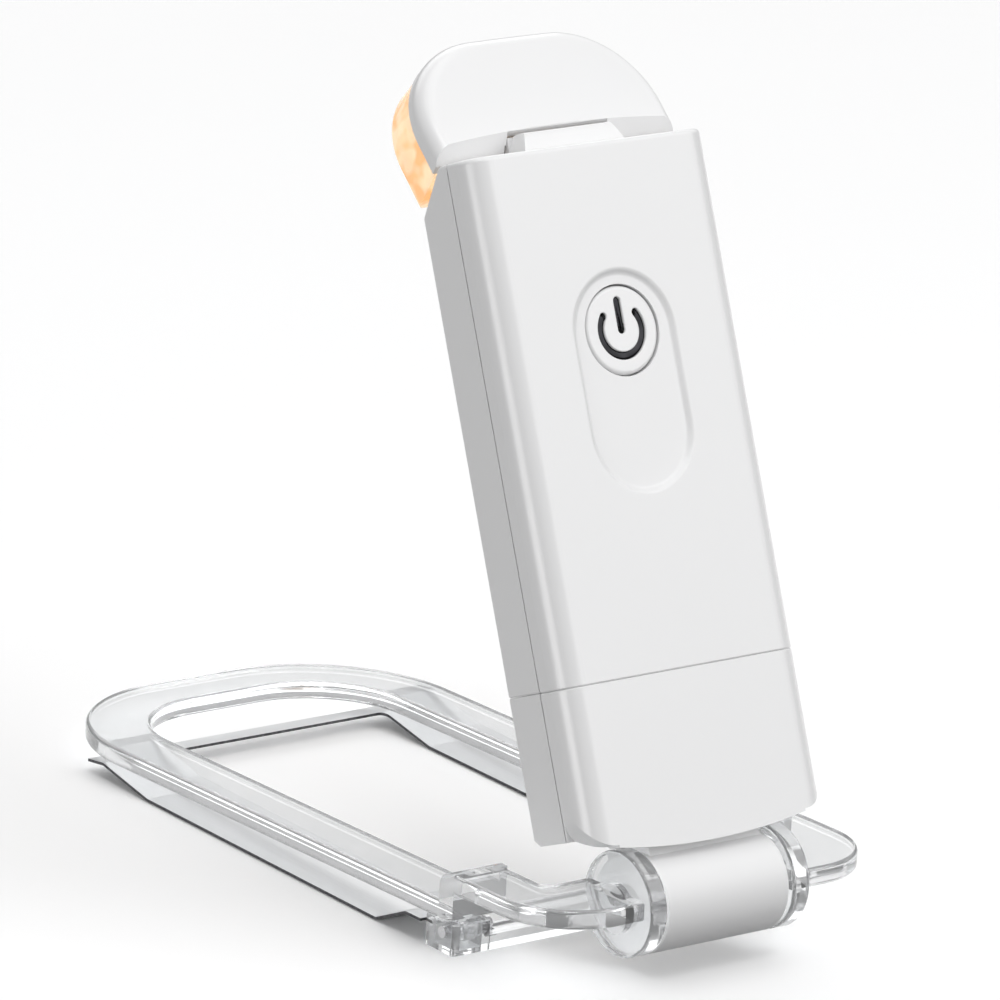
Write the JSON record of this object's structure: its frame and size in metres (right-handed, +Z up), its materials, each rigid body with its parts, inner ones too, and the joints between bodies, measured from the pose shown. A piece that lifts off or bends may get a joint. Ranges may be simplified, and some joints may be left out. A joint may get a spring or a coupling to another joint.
{
  "type": "clip-on reading lamp",
  "caption": "Small rechargeable reading lamp on a clear spring clip: leaning body with a folding head, push button and a pull-off base that covers its charging plug.",
  "frame": {"origin": "middle of the clip bar's underside, on the surface the clip rests on", "axes": "+X along the hinge pins, +Y from the hinges to the tip of the clip loop, +Z up"},
  "size_m": [0.0432, 0.0908, 0.0849],
  "materials": {
    "white_cover": "satin moulded",
    "white_satin": "satin",
    "clear_clip": "clear polished",
    "clear_lens": "clear with facets",
    "icon_dark": "glossy",
    "spring_steel": "bright rolled",
    "plug_steel": "bright",
    "plug_insulator": "moulded",
    "contact_gold": "plated",
    "board": "solder mask",
    "chip_black": "moulded",
    "cell_foil": "foil pouch",
    "led_amber": "phosphor",
    "inner_grey": "moulded"
  },
  "bodies": {
    "clip_base": {"clip_base": "clear_clip", "jaw_sheet": "spring_steel", "jaw_pins": "plug_steel", "jaw_springs": "plug_steel"},
    "upper_clip": {"upper_clip": "clear_clip", "barrel_pin": "plug_steel"},
    "base_housing": {"base_front_shell": "white_cover", "base_rear_shell": "white_cover", "socket_liner": "inner_grey", "barrel": "white_satin", "barrel_bushes": "inner_grey"},
    "lamp_body": {"front_cover": "white_cover", "rear_cover": "white_cover", "housing_screws": "plug_steel", "hinge_tongue": "white_cover", "main_board": "board", "board_chips": "chip_black", "battery_cell": "cell_foil", "tact_switch": "chip_black", "usb_shell": "plug_steel", "usb_insulator": "plug_insulator", "usb_contacts": "contact_gold"},
    "power_button": {"power_button": "white_cover", "power_icon": "icon_dark", "switch_plunger": "chip_black"},
    "head": {"head_cap": "white_cover", "head_lens": "clear_lens", "head_chassis": "inner_grey", "led_board": "board", "leds": "led_amber", "head_pin": "plug_steel"}
  },
  "joints": [
    {"name": "jaw_open", "type": "hinge", "parent": "clip_base", "child": "upper_clip", "pos_m": [0, -0.00045, 0.002], "axis": [1, 0, 0], "range_deg": [0, 12], "stiffness_Nm_per_rad": 0.08, "springref_deg": -28.65},
    {"name": "body_tilt", "type": "hinge", "parent": "upper_clip", "child": "base_housing", "pos_m": [0, -0.0138, 0.0071], "axis": [1, 0, 0], "range_deg": [-34, 65]},
    {"name": "body_pull", "type": "slide", "parent": "base_housing", "child": "lamp_body", "axis": [0, 0.387, 0.9221], "range_m": [0, 0.014]},
    {"name": "head_tilt", "type": "hinge", "parent": "lamp_body", "child": "head", "pos_m": [0, 0.01941, 0.07569], "axis": [1, 0, 0], "range_deg": [-15, 5]},
    {"name": "button_press", "type": "slide", "parent": "lamp_body", "child": "power_button", "axis": [0, 0.9221, -0.387], "range_m": [0, 0.00025], "stiffness_N_per_m": 4000}
  ]
}
